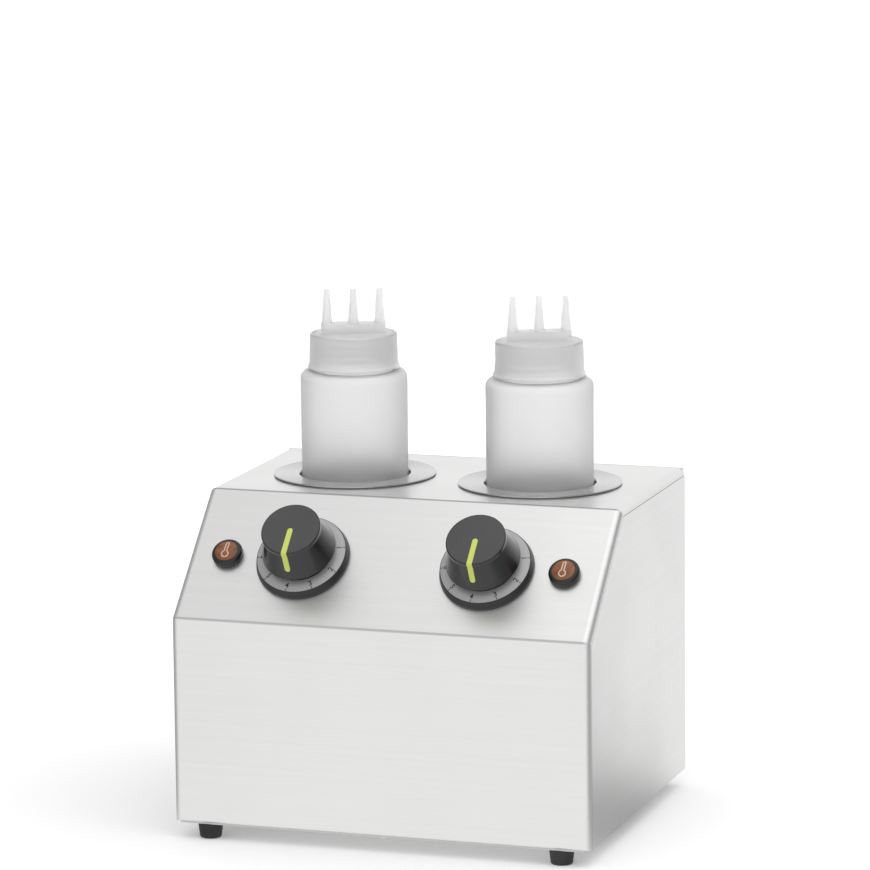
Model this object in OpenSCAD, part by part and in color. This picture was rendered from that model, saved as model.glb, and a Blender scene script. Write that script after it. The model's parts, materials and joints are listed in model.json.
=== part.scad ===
/* [Casing] */
// Width of the casing
case_w = 300; // [280:1:380]
// Depth of the casing
case_d = 240; // [232:1:300]
// Height of the casing, without its feet
case_h = 220; // [205:1:250]
// Height of the upright front face
front_h = 144; // [125:1:150]
// Depth of the flat top
top_d = 160; // [150:1:172]
// Thickness of the steel sheet
sheet = 1; // [0.8:0.1:1.5]
// Outside radius of the folds across the width
fold_r = 2.4; // [1.8:0.1:4]
// Outside radius of the wrap's folds along the sides
side_r = 5; // [3:0.1:6]
// Width of the seam between the wrap's side folds and the side panels
seam_gap = 0.4; // [0.1:0.05:1]
// Width of the folded flanges
flange_w = 12; // [11:0.5:16]
// Clearance round an inset sheet
sheet_gap = 0.2; // [0.1:0.05:0.5]
// Width of a vent slot
vent_w = 4; // [2:0.5:5]
// Length of a vent slot
vent_l = 34; // [20:1:40]
// Distance between vent slots
vent_pitch = 10; // [7:0.5:12]

/* [Base and feet] */
// Thickness of the base plate
base_t = 1.2; // [1:0.1:2]
// How far the base plate's sides lie inside the casing
base_in_side = 4; // [2:0.5:6]
// How far the base plate's front and back lie inside the casing
base_in_front = 2; // [1:0.5:4]
// Diameter of a foot at its top
foot_d = 17.6; // [16:0.2:20]
// Diameter of a foot at the ground
foot_base_d = 15; // [13:0.2:16]
// Height of a foot
foot_h = 10.8; // [9:0.2:16]
// Distance from the casing's sides to the foot centres
foot_in_x = 23; // [20:0.5:40]
// Distance from the front and back to the foot centres
foot_in_y = 10; // [9.5:0.1:11]

/* [Bottles] */
// Diameter of a bottle at its shoulder
bottle_d = 75.7; // [70:0.1:80]
// Diameter of a bottle at its base
bottle_base_d = 74.6; // [70:0.1:75.5]
// Height of a bottle's shoulder
shoulder_h = 224; // [210:1:240]
// Radius of the shoulder
shoulder_r = 6; // [4:0.5:8]
// Radius of the bottom corner
heel_r = 7; // [4:0.5:9]
// Wall of a bottle
bottle_wall = 1.2; // [1:0.1:2]
// Diameter of the raised middle of the bottom
pushup_d = 48; // [36:1:52]
// Height of the raised middle of the bottom
pushup_h = 2.5; // [1.5:0.1:4]
// Outside diameter of the neck
neck_d = 58; // [52:0.2:58.4]
// Height of the neck above the shoulder
neck_h = 24.5; // [20:0.5:28]

/* [Nozzle caps] */
// Clearance between the neck and the cap
cap_gap = 0.5; // [0.3:0.1:0.8]
// Wall of the cap at its top
cap_wall = 1.2; // [1:0.1:2]
// How far the cap's skirt flares outward at its foot
cap_flare = 2.1; // [1:0.1:3]
// Height of the flare
cap_flare_h = 2.5; // [1.5:0.1:4]
// Gap between the shoulder and the cap's foot
cap_lift = 2; // [1:0.1:4]
// Thickness of the cap's top
cap_top_t = 1.5; // [1:0.1:2.5]
// Distance between the nozzles
nozzle_pitch = 18.6; // [16:0.1:20]
// Diameter of a nozzle at its foot
nozzle_base_d = 7.6; // [6:0.1:9]
// Diameter of a nozzle at its tip
nozzle_tip_d = 4.4; // [3.5:0.1:5]
// Bore of a nozzle at its tip
nozzle_bore_d = 2.4; // [1.5:0.1:3]
// Height of the nozzles above the bar that carries them
nozzle_h = 24; // [18:0.5:32]
// Width of the bar that carries the nozzles
bar_w = 14; // [11:0.5:18]
// Height of that bar above the cap's top
bar_h = 7; // [5:0.5:9]
// How far the bar reaches beyond the outer nozzles
bar_end = 0.4; // [0.3:0.1:2]
// Turn of the row of nozzles seen from above
nozzle_turn = 23; // [0:1:45]

/* [Wells] */
// Clearance between a bottle and its well
well_gap = 1.35; // [1:0.05:2.5]
// Depth of a well
well_depth = 150; // [130:1:165]
// Wall of a well
well_wall = 0.8; // [0.6:0.1:1.2]
// Width of the flange outside the well's bore
rim_w = 18.3; // [17:0.1:20]
// Radius of the lip between flange and bore
lip_r = 1.5; // [1:0.1:2]
// Radius of the well's bottom corner
well_corner_r = 5; // [3:0.5:7]
// Distance between the wells
well_pitch = 137; // [130:1:150]
// Distance from the back of the casing to the well centres
well_back = 85; // [75:1:90]
// Thickness of the gasket beneath the flange
gasket_t = 0.8; // [0.5:0.1:1.5]

/* [Controls] */
// Distance between the knobs
knob_pitch = 132.6; // [120:0.2:140]
// Distance between the lamps
lamp_pitch = 243; // [232:1:250]
// How far the controls lie below the middle of the slope
control_drop = 1.2; // [0:0.1:3]
// Height of a knob above the panel
knob_h = 36.7; // [30:0.1:42]
// Diameter of a knob's top
knob_top_d = 41.8; // [36:0.2:44]
// Height of the lip round a knob's top
knob_lip_h = 3.2; // [2:0.1:5]
// Depth of the groove beneath that lip
knob_groove = 0.8; // [0.4:0.1:1.2]
// Diameter of a knob's skirt
knob_skirt_d = 52.2; // [48:0.2:56]
// Height of the skirt's foot above the panel
knob_skirt_z = 12.9; // [11:0.1:14]
// Wall of a knob
knob_wall = 2; // [1.5:0.1:3]
// Width of the pointer
pointer_w = 3.8; // [2.5:0.1:5]
// Height of the pointer's lower end above the panel
pointer_low = 20.5; // [17:0.5:24]
// Depth of the pointer's seat
pointer_seat = 0.6; // [0.4:0.1:1]
// Diameter of a thermostat shaft
shaft_d = 6; // [5:0.1:7]
// Running clearance round a shaft
shaft_gap = 0.05; // [0.03:0.01:0.1]

/* [Dials and lamps] */
// Diameter of a dial's black base
dial_d = 66.2; // [62:0.2:72]
// Height of the upright edge of the dial's base
dial_edge_h = 2; // [1:0.1:3]
// Thickness of the dial's floor
dial_floor = 2.5; // [2:0.1:3.5]
// Outside diameter of the silver ring
ring_d = 62.5; // [60:0.1:64]
// Inside diameter of the silver ring
ring_bore_d = 46; // [42:0.5:50]
// Height of the silver ring's outer edge above the panel
ring_z = 6.7; // [5.5:0.1:8]
// Height gained by the ring from its outer to its inner edge
ring_rise = 1.6; // [0.5:0.1:2.5]
// Thickness of the silver ring
ring_t = 0.6; // [0.4:0.1:1]
// Diameter of a lamp's bezel
lamp_d = 21.8; // [20:0.2:24]
// Diameter of a lamp's lens
lens_d = 16; // [13:0.2:17]
// Height of a lamp's bezel
bezel_h = 5.8; // [4:0.1:7]
// Radius of a bezel's shoulder
bezel_r = 2.6; // [1:0.1:2.8]
// Height of a lamp's lens above the panel
lens_h = 7.2; // [6:0.1:9]
// Diameter of a lamp's barrel
barrel_d = 13; // [11:0.2:14]

/* [Heating and wiring] */
// Thickness of a band heater
heater_t = 3; // [2:0.1:4]
// Height of a band heater
heater_h = 60; // [40:1:70]
// Height of a band heater above the well's floor
heater_up = 14; // [8:1:20]
// Clearance between a well and what is fitted round it
heater_gap = 0.15; // [0.1:0.05:0.4]
// Width of a thermostat's body
stat_w = 36; // [30:1:42]
// Depth of a thermostat's body
stat_t = 22; // [18:1:28]
// Diameter of a thermostat's bulb
bulb_d = 6; // [5:0.1:7]
// Length of a thermostat's bulb
bulb_l = 56; // [40:1:60]
// Diameter of the wires
wire_d = 2.4; // [1.8:0.1:3]
// How far the cable gland stands out behind the casing
gland_out = 20; // [17:0.5:26]
// Bore of the gland's seal
cord_d = 7.5; // [6:0.1:8]
// Height of the gland above the casing's bottom
gland_up = 32; // [26:1:60]
// Distance from the casing's side to the gland
gland_in_x = 45; // [38:1:60]

/* [Hidden] */
$fn = 64;
// How far joined shapes run into each other, and how far cuts run past a face
lap = 0.01;
lead = 1;
far = 600;

// Casing: y runs from front to back, z from the ground up
front_y = -(case_d + gland_out) / 2;
back_y = front_y + case_d;
low_z = foot_h + base_t;
bend_z = low_z + front_h;
top_z = low_z + case_h;
top_y = back_y - top_d;
slope_run = case_d - top_d;
slope_rise = case_h - front_h;
slope_len = norm([slope_run, slope_rise]);
slope_a = atan2(slope_rise, slope_run);
wrap_w = case_w - 2 * sheet;
seam_in = side_r + 0.3;
control_s = slope_len / 2 - control_drop;

// Where the screws and feet stand
side_screw_x = case_w / 2 - sheet - flange_w / 2;
side_screw_y = [front_y + case_d * 0.3, back_y - case_d * 0.3];
front_screw_y = front_y + flange_w / 2 + base_in_front;
rear_screw_x = case_w / 3;
rear_screw_z = [low_z + case_h * 0.25, top_z - case_h * 0.25];
rear_screw_top = top_z - flange_w / 2;
foot_x = case_w / 2 - foot_in_x;
foot_front_y = front_y + foot_in_y;
foot_back_y = back_y - foot_in_y;
FEET = [[-foot_x, foot_front_y], [foot_x, foot_front_y], [-foot_x, foot_back_y],
    [foot_x, foot_back_y]];
vent_count = 7;
vent_z = low_z + case_h * 0.7;

// Screws: M4 for the wells, feet and thermostats, M3 for the sheet. Grip is the thread beyond
// what a screw holds
grip = 3;
m4_r = 1.95;
m4_hole_r = 2.2;
m4_head_r = 3.8;
m4_head_h = 2.4;
m4_nut_r = 4.04;
m4_nut_h = 3.2;
m3_r = 1.45;
m3_hole_r = 1.6;
m3_head_r = 2.8;
m3_head_h = 1.8;
m3_nut_r = 3.17;
m3_nut_h = 2.4;

// Bottles and wells
bottle_r = bottle_d / 2;
well_r = bottle_r + well_gap;
well_or = well_r + well_wall;
rim_r = well_r + rim_w;
well_x = well_pitch / 2;
well_y = back_y - well_back;
rim_z = top_z + gasket_t + well_wall;
seat_z = rim_z - well_depth;
well_hole_r = well_or + 2.5;
stud_r = (well_hole_r + rim_r) / 2;
stud_l = 10;
gasket_in = 0.6;
nut_gap = 0.02;

// Caps, in heights above a bottle's foot
neck_r = neck_d / 2;
neck_top = shoulder_h + neck_h;
cap_r = neck_r + cap_gap + cap_wall;
cap_foot = shoulder_h + cap_lift;
cap_top = neck_top + cap_top_t;
bar_top = cap_top + bar_h;
cap_edge_r = 0.9;
bar_l = 2 * (nozzle_pitch + bar_end) + nozzle_base_d;

// Controls
knob_x = knob_pitch / 2;
lamp_x = lamp_pitch / 2;
knob_top_r = knob_top_d / 2;
skirt_r = knob_skirt_d / 2;
hub_r = shaft_d / 2 + 3;
hub_z = knob_skirt_z - 4;
shaft_top = knob_h - 7;
shaft_flat = shaft_d / 4;
stat_neck_r = shaft_d / 2 + 2;
stat_neck_z = dial_floor + 1.5;
stat_screw_x = 14;
stat_thread = 6;
stat_in = sheet + stat_t;
stat_tab_s = stat_w / 2 - 5;
shaft_in = sheet + 8;
barrel_in = 26;

// Heating, in the well's own frame with its floor's top at height nought
heater_r = well_or + heater_gap;
heater_or = heater_r + heater_t;
split = 8;
lug_t = 2;
lug_l = 13;
clamp_l = split + 2 * lug_t;
heater_screw_z = [heater_up + heater_h / 4, heater_up + heater_h * 3 / 4];
clip_t = 0.8;
bulb_r = bulb_d / 2;
clip_or = bulb_r + heater_gap + clip_t;
bulb_y = -(well_or + heater_gap + clip_or);
bulb_low = heater_up + heater_h + 8;
post_r = 2;
post_l = 7.5;
post_a = 25;
clip_w = 18;

// Thermal cut-outs, and the tabs that wires are pushed on
cutout_r = 8;
cutout_h = 6;
cutout_ear_w = 8;
cutout_ear_t = 0.8;
cutout_stud_x = 13;
cutout_stud_l = 7;
tab_w = 6;
tab_t = 0.8;
tab_l = 7;

// Gland: its hole in the rear panel and the pieces along its axis
gland_x = case_w / 2 - gland_in_x;
gland_z = low_z + gland_up;
gland_thread = 10;
gland_nut_t = 5;
gland_face_t = 2;
gland_gap = 0.05;
gland_r = cord_d / 2 + 4.25;
gland_hex_r = gland_r + 4.5;
gland_flange = 4.5;
gland_cap_y = gland_flange + 0.2;
seal_r = gland_r - 1.6;
seal_in = 6;
seal_out = gland_out - 6;

// Connections on the base plate
block_x = case_w / 10;
block_in_y = 52;
block_y = back_y - block_in_y;
block_pole = 12;
block_w = 3 * block_pole;
block_d = 20;
block_h = 15;
block_hole_r = 2;
pole_screw_r = 2.2;
pole_screw_y = block_d / 2 - 4.5;
pole_screw_z = block_h / 2 + 2.5;
groove_w = 1;
groove_h = 8;
earth_x = block_x + block_w;
earth_y = block_y - 0.7 * block_d;
earth_l = 14;

// Wires: how straight they leave what they are pushed on
wire_gap = 0.4;
wire_out = 14;
wire_lead = 22;
wire_bow = 60;

// Helpers for outlines with folded corners
function unit(v) = v / norm(v);
function half_turn(c, p, n) = acos(unit(p - c) * unit(n - c)) / 2;
function tangent(c, p, n, r) = c + unit(p - c) * r / tan(half_turn(c, p, n));
function centre(c, p, n, r) = c + unit(unit(p - c) + unit(n - c)) * r / sin(half_turn(c, p, n));
function at(points, i) = points[(i + len(points)) % len(points)];
function shrunk(points, by) =
    [for (i = [0:len(points) - 1]) centre(points[i], at(points, i - 1), at(points, i + 1), by)];

// A polygon whose corner i is rounded to the radius radii[i]
module rounded(points, radii) {
    difference() {
        polygon(points);
        for (i = [0:len(points) - 1])
            if (radii[i] > 0)
                corner_cut(points[i], at(points, i - 1), at(points, i + 1), radii[i]);
    }
}

// What a rounded corner c between the points p and n loses
module corner_cut(c, p, n, r) {
    m = centre(c, p, n, r);
    difference() {
        polygon([m, m + 1.5 * (tangent(c, p, n, r) - m), m + 2 * (c - m),
            m + 1.5 * (tangent(c, n, p, r) - m)]);
        translate(m) circle(r);
    }
}

// A side view, drawn as [y, z], carried across the width w about x
module across(w, x = 0) {
    translate([x, 0, 0]) rotate([90, 0, 90]) linear_extrude(w, center = true) children();
}

// A frame on the sloped panel: +Z stands out of the panel, +Y climbs the slope
module on_slope(x, s = control_s) {
    translate([x, front_y + s * cos(slope_a), bend_z + s * sin(slope_a)])
        rotate([slope_a, 0, 0]) children();
}

module at_well(side) {
    translate([side * well_x, well_y, seat_z]) children();
}

// A bar from y = 0 downward, with its upper corners rounded
module gate(w, r, depth) {
    translate([-w / 2, -depth]) square([w, depth - r]);
    translate([-w / 2 + r, -r - lap]) square([w - 2 * r, r + lap]);
    for (side = [-1, 1]) translate([side * (w / 2 - r), -r]) circle(r);
}

module hex(r, h) {
    cylinder(r = r, h = h, $fn = 6);
}

module pan_screw(r, l, head_r, head_h) {
    translate([0, 0, -l]) cylinder(r = r, h = l + lap);
    cylinder(r = head_r, h = head_h * 0.6);
    translate([0, 0, head_h * 0.6]) cylinder(r1 = head_r, r2 = head_r * 0.7, h = head_h * 0.4);
}

// Casing
function wrap_corners() = [[front_y, low_z], [front_y, bend_z], [top_y, top_z],
    [back_y - sheet, top_z], [back_y - sheet, low_z]];

// The wrap's outer shape moved in by "by", w wide, with folds of radius r along its sides
module wrap_envelope(by, w, r) {
    outline = by > 0 ? shrunk(wrap_corners(), by) : wrap_corners();
    f = fold_r - by;
    intersection() {
        across(w) rounded(outline, [f, f, f, f, 0]);
        translate([0, front_y + by, 0]) rotate([0, 0, 180]) linear_extrude(far) gate(w, r, far);
        on_slope(0) translate([0, 0, -by]) rotate([90, 0, 0])
            linear_extrude(far, center = true) gate(w, r, far);
        translate([0, 0, top_z - by]) rotate([90, 0, 0])
            linear_extrude(far, center = true) gate(w, r, far);
    }
}

// What lies deeper than "in" behind the front, slope and top, w wide about the place x
module behind_skin(in, w, x = 0) {
    inner = shrunk(wrap_corners(), in);
    across(w, x) polygon([[inner[0][0], low_z - lead], inner[1], inner[2],
        [back_y + lead, inner[2][1]], [back_y + lead, low_z - lead]]);
}

module front_wrap() {
    color("gainsboro") difference() {
        wrap_envelope(0, case_w, side_r);
        wrap_envelope(sheet, wrap_w - 2 * sheet, side_r - 2 * sheet);
        behind_skin(flange_w, far);
        for (side = [-1, 1]) {
            behind_skin(seam_in, 2 * sheet, side * (wrap_w / 2 + sheet));
            translate([side * well_x, well_y, top_z - sheet - lead]) {
                cylinder(r = well_hole_r, h = sheet + 2 * lead);
                for (a = [45:90:315]) rotate(a) translate([stud_r, 0, 0])
                    cylinder(r = m4_hole_r, h = sheet + 2 * lead);
            }
            on_slope(side * knob_x) translate([0, 0, -sheet - lead]) {
                cylinder(r = stat_neck_r + 0.3, h = sheet + 2 * lead);
                for (x = [-stat_screw_x, stat_screw_x]) translate([x, 0, 0])
                    cylinder(r = m4_hole_r, h = sheet + 2 * lead);
            }
            on_slope(side * lamp_x) translate([0, 0, -sheet - lead])
                cylinder(r = barrel_d / 2 + 0.3, h = sheet + 2 * lead);
            translate([side * foot_x, foot_front_y, low_z - lead])
                cylinder(r = m4_hole_r, h = sheet + 2 * lead);
            translate([side * rear_screw_x, back_y - 2 * sheet - lead, rear_screw_top])
                rotate([-90, 0, 0]) cylinder(r = m3_hole_r, h = sheet + 2 * lead);
        }
        translate([0, front_screw_y, low_z - lead])
            cylinder(r = m3_hole_r, h = sheet + 2 * lead);
    }
}

module side_panel(side) {
    plate_x = side * (case_w - sheet) / 2;
    flange_x = side * (case_w / 2 - flange_w / 2);
    inner = shrunk(wrap_corners(), seam_in + seam_gap);
    corners = [[inner[0][0], low_z], inner[1], inner[2], [back_y, inner[2][1]],
        [back_y, low_z]];
    back_low = low_z + flange_w + sheet_gap;
    back_high = top_z - flange_w - sheet_gap;
    floor_start = front_y + flange_w + sheet_gap;
    floor_end = back_y - sheet - flange_w - sheet_gap;
    color("gainsboro") difference() {
        union() {
            across(sheet, plate_x) polygon(corners);
            translate([flange_x - flange_w / 2, floor_start, low_z])
                cube([flange_w, floor_end - floor_start, sheet]);
            translate([flange_x - flange_w / 2, back_y - 2 * sheet, back_low])
                cube([flange_w, sheet, back_high - back_low]);
        }
        for (y = side_screw_y)
            translate([side * side_screw_x, y, low_z - lead])
                cylinder(r = m3_hole_r, h = sheet + 2 * lead);
        for (z = rear_screw_z)
            translate([side * side_screw_x, back_y - 2 * sheet - lead, z])
                rotate([-90, 0, 0]) cylinder(r = m3_hole_r, h = sheet + 2 * lead);
    }
}

// A row of slots with round ends, cut along Y through a sheet in the X-Z plane
module vents() {
    straight = vent_l - vent_w;
    for (i = [0:vent_count - 1]) translate([(i - (vent_count - 1) / 2) * vent_pitch, 0, 0])
        rotate([-90, 0, 0]) linear_extrude(4 * sheet, center = true) {
            square([vent_w, straight], center = true);
            for (end = [-1, 1]) translate([0, end * straight / 2]) circle(vent_w / 2);
        }
}

module rear_panel() {
    w = wrap_w - 2 * sheet_gap;
    color("gainsboro") difference() {
        union() {
            translate([-w / 2, back_y - sheet, low_z]) cube([w, sheet, case_h - sheet_gap]);
            translate([-w / 2, back_y - sheet - flange_w, low_z])
                cube([w, flange_w + lap, sheet]);
        }
        for (side = [-1, 1]) translate([side * well_x, back_y, vent_z]) vents();
        translate([gland_x, back_y - sheet - lead, gland_z]) rotate([-90, 0, 0])
            cylinder(r = gland_r + 0.2, h = sheet + 2 * lead);
        for (side = [-1, 1]) {
            for (z = rear_screw_z) translate([side * side_screw_x, back_y - sheet - lead, z])
                rotate([-90, 0, 0]) cylinder(r = m3_hole_r, h = sheet + 2 * lead);
            translate([side * rear_screw_x, back_y - sheet - lead, rear_screw_top])
                rotate([-90, 0, 0]) cylinder(r = m3_hole_r, h = sheet + 2 * lead);
            translate([side * foot_x, foot_back_y, low_z - lead])
                cylinder(r = m4_hole_r, h = sheet + 2 * lead);
        }
    }
}

module base_plate() {
    w = case_w - 2 * base_in_side;
    d = case_d - 2 * base_in_front;
    color("silver") difference() {
        translate([-w / 2, front_y + base_in_front, low_z - base_t]) cube([w, d, base_t]);
        for (p = FEET) translate([p[0], p[1], low_z - base_t - lead])
            cylinder(r = m4_hole_r, h = base_t + 2 * lead);
        for (side = [-1, 1], y = side_screw_y)
            translate([side * side_screw_x, y, low_z - base_t - lead])
                cylinder(r = m3_hole_r, h = base_t + 2 * lead);
        translate([0, front_screw_y, low_z - base_t - lead])
            cylinder(r = m3_hole_r, h = base_t + 2 * lead);
        for (side = [-1, 1])
            translate([side * well_x, well_y, low_z - base_t / 2]) rotate([90, 0, 0]) vents();
        translate([earth_x, earth_y, low_z - base_t - lead])
            cylinder(r = m4_hole_r, h = base_t + 2 * lead);
        for (end = [-1, 1]) translate([block_x + end * block_pole / 2, block_y,
            low_z - base_t - lead]) cylinder(r = m3_hole_r, h = base_t + 2 * lead);
    }
}

// Screws of the base plate, the rear panel and the terminal block
module panel_screws() {
    reach = base_t + sheet + grip;
    color("silver") {
        for (side = [-1, 1]) {
            for (y = side_screw_y) translate([side * side_screw_x, y, low_z - base_t])
                rotate([180, 0, 0]) pan_screw(m3_r, reach, m3_head_r, m3_head_h);
            for (z = rear_screw_z) translate([side * side_screw_x, back_y, z])
                rotate([-90, 0, 0]) pan_screw(m3_r, 2 * sheet + grip, m3_head_r, m3_head_h);
            translate([side * rear_screw_x, back_y, rear_screw_top])
                rotate([-90, 0, 0]) pan_screw(m3_r, 2 * sheet + grip, m3_head_r, m3_head_h);
            translate([block_x + side * block_pole / 2, block_y, low_z - base_t])
                rotate([180, 0, 0]) pan_screw(m3_r, base_t + 2 * grip, m3_head_r, m3_head_h);
        }
        translate([0, front_screw_y, low_z - base_t])
            rotate([180, 0, 0]) pan_screw(m3_r, reach, m3_head_r, m3_head_h);
    }
}

// Feet
foot_bore_r = m4_hole_r;
foot_sink_r = m4_head_r + 0.8;
foot_sink_h = foot_h * 0.55;
foot_edge_r = 1.5;
foot_top_r = 0.4;

module foot(i) {
    color("dimgray") translate([FEET[i][0], FEET[i][1], 0]) rotate_extrude() difference() {
        rounded([[0, 0], [foot_base_d / 2, 0], [foot_d / 2, foot_h], [0, foot_h]],
            [0, foot_edge_r, foot_top_r, 0]);
        translate([-lead, -lead]) square([lead + foot_bore_r, foot_h + 2 * lead]);
        translate([-lead, -lead]) square([lead + foot_sink_r, lead + foot_sink_h]);
    }
}

module foot_screws() {
    color("silver") for (p = FEET) translate([p[0], p[1], foot_sink_h]) rotate([180, 0, 0])
        pan_screw(m4_r, foot_h - foot_sink_h + base_t + sheet + m4_nut_h + grip / 2,
            m4_head_r, m4_head_h);
}

module foot_nuts() {
    color("silver") for (p = FEET) translate([p[0], p[1], low_z + sheet]) difference() {
        hex(m4_nut_r, m4_nut_h);
        translate([0, 0, -lead]) cylinder(r = m4_r + nut_gap, h = m4_nut_h + 2 * lead);
    }
}

// Wells: a deep-drawn cup whose flange lies on a gasket on the top
module well(side) {
    top = well_depth;
    color("lightgray") at_well(side) {
        rotate_extrude() difference() {
            union() {
                rounded([[0, -well_wall], [well_or, -well_wall], [well_or, top], [0, top]],
                    [0, well_corner_r + well_wall, 0, 0]);
                translate([0, top - well_wall]) square([rim_r, well_wall]);
            }
            rounded([[0, 0], [well_r, 0], [well_r, top + lead], [0, top + lead]],
                [0, well_corner_r, 0, 0]);
            difference() {
                translate([well_r - lead, top - lip_r]) square([lead + lip_r, lip_r + lap]);
                translate([well_r + lip_r, top - lip_r]) circle(lip_r);
            }
        }
        for (a = [45:90:315]) rotate(a) translate([stud_r, 0, top - well_wall - stud_l])
            cylinder(r = m4_r, h = stud_l + well_wall / 2);
        for (end = [-1, 1]) translate([end * cutout_stud_x, 0, -well_wall - cutout_stud_l])
            cylinder(r = m3_r, h = cutout_stud_l + well_wall / 2);
    }
}

module well_gasket(side) {
    color("dimgray") translate([side * well_x, well_y, top_z]) difference() {
        cylinder(r = rim_r - gasket_in, h = gasket_t);
        translate([0, 0, -lead]) cylinder(r = well_hole_r, h = gasket_t + 2 * lead);
        for (a = [45:90:315]) rotate(a) translate([stud_r, 0, -lead])
            cylinder(r = m4_hole_r, h = gasket_t + 2 * lead);
    }
}

module well_nuts() {
    color("silver") for (side = [-1, 1]) {
        for (a = [45:90:315]) translate([side * well_x, well_y, top_z - sheet - m4_nut_h])
            rotate(a) translate([stud_r, 0, 0]) difference() {
                hex(m4_nut_r, m4_nut_h);
                translate([0, 0, -lead]) cylinder(r = m4_r + nut_gap, h = m4_nut_h + 2 * lead);
            }
        at_well(side) for (end = [-1, 1])
            translate([end * cutout_stud_x, 0, -well_wall - cutout_ear_t - m3_nut_h]) difference() {
                hex(m3_nut_r, m3_nut_h);
                translate([0, 0, -lead]) cylinder(r = m3_r + nut_gap, h = m3_nut_h + 2 * lead);
            }
    }
}

// A band heater: a split ring with two lugs that a pair of screws draws together
module heater(side) {
    color("peru") at_well(side) difference() {
        union() {
            translate([0, 0, heater_up]) cylinder(r = heater_or, h = heater_h);
            for (end = [-1, 1]) translate([end * (split + lug_t) / 2 - lug_t / 2,
                heater_or - 1, heater_up]) cube([lug_t, lug_l, heater_h]);
            for (end = [-1, 1]) rotate(end * post_a) translate([0, heater_r + heater_t / 2,
                heater_up + heater_h / 2]) rotate([-90, 0, 0])
                    cylinder(r = post_r, h = post_l + heater_t / 2);
        }
        translate([0, 0, heater_up - lead]) cylinder(r = heater_r, h = heater_h + 2 * lead);
        translate([-split / 2, 0, heater_up - lead])
            cube([split, heater_or + lug_l, heater_h + 2 * lead]);
        for (z = heater_screw_z) translate([-clamp_l / 2 - lead, heater_or + lug_l / 2, z])
            rotate([0, 90, 0]) cylinder(r = m3_hole_r, h = clamp_l + 2 * lead);
    }
}

module heater_clamp_screws() {
    reach = clamp_l + m3_nut_h + grip / 2;
    color("silver") for (side = [-1, 1], z = heater_screw_z)
        at_well(side) translate([clamp_l / 2, heater_or + lug_l / 2, z]) rotate([0, 90, 0]) {
            pan_screw(m3_r, reach, m3_head_r, m3_head_h);
            translate([0, 0, -clamp_l - m3_nut_h]) hex(m3_nut_r, m3_nut_h);
        }
}

// A flat tab that a wire is pushed on, hanging down from the face that carries it
module tab() {
    translate([-tab_t / 2, -tab_w / 2, -tab_l]) cube([tab_t, tab_w, tab_l + 1]);
}

// A disc cut-out on two studs beneath the well
module thermal_cutout(side) {
    color("tan") at_well(side) translate([0, 0, -well_wall]) difference() {
        union() {
            translate([-cutout_stud_x, -cutout_ear_w / 2, -cutout_ear_t])
                cube([2 * cutout_stud_x, cutout_ear_w, cutout_ear_t]);
            for (end = [-1, 1]) translate([end * cutout_stud_x, 0, -cutout_ear_t])
                cylinder(d = cutout_ear_w, h = cutout_ear_t);
            translate([0, 0, -cutout_h]) cylinder(r = cutout_r, h = cutout_h);
            for (end = [-1, 1]) translate([end * cutout_r / 2, 0, -cutout_h]) tab();
        }
        for (end = [-1, 1]) translate([end * cutout_stud_x, 0, -cutout_ear_t - lead])
            cylinder(r = m3_hole_r, h = cutout_ear_t + 2 * lead);
    }
}

// Thermostats behind the slope
module thermostat(side) {
    color("beige") on_slope(side * knob_x) difference() {
        union() {
            translate([-stat_w / 2, -stat_w / 2, -stat_in]) cube([stat_w, stat_w, stat_t]);
            translate([0, 0, -sheet - lap]) cylinder(r = stat_neck_r, h = stat_neck_z + sheet);
            for (end = [-1, 1]) translate([end * stat_w / 4, stat_tab_s, -stat_in]) tab();
        }
        translate([0, 0, -shaft_in - shaft_gap]) cylinder(r = shaft_d / 2 + shaft_gap, h = far);
        for (x = [-stat_screw_x, stat_screw_x]) translate([x, 0, -sheet - stat_thread - 2])
            cylinder(r = m4_r + shaft_gap, h = far);
    }
}

module thermostat_screws() {
    color("silver") for (side = [-1, 1], x = [-stat_screw_x, stat_screw_x])
        on_slope(side * knob_x) translate([x, 0, dial_floor])
            pan_screw(m4_r, dial_floor + sheet + stat_thread, m4_head_r, m4_head_h);
}

module thermostat_shaft(side) {
    color("silver") on_slope(side * knob_x) difference() {
        translate([0, 0, -shaft_in]) cylinder(r = shaft_d / 2, h = shaft_in + shaft_top);
        translate([-shaft_d, shaft_flat, hub_z]) cube([2 * shaft_d, shaft_d, far]);
    }
}

// A point beside the controls: v climbs the slope and n stands out of it
function slope_point(x, v, n) = [x,
    front_y + (control_s + v) * cos(slope_a) - n * sin(slope_a),
    bend_z + (control_s + v) * sin(slope_a) + n * cos(slope_a)];

// Tubes that follow a curve drawn by four points
function curve(p, t) = pow(1 - t, 3) * p[0] + 3 * pow(1 - t, 2) * t * p[1]
    + 3 * (1 - t) * pow(t, 2) * p[2] + pow(t, 3) * p[3];
function heading(p, t) = unit(3 * pow(1 - t, 2) * (p[1] - p[0])
    + 6 * (1 - t) * t * (p[2] - p[1]) + 3 * pow(t, 2) * (p[3] - p[2]));
function side_of(h, up) = unit(cross(h, up));

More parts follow.
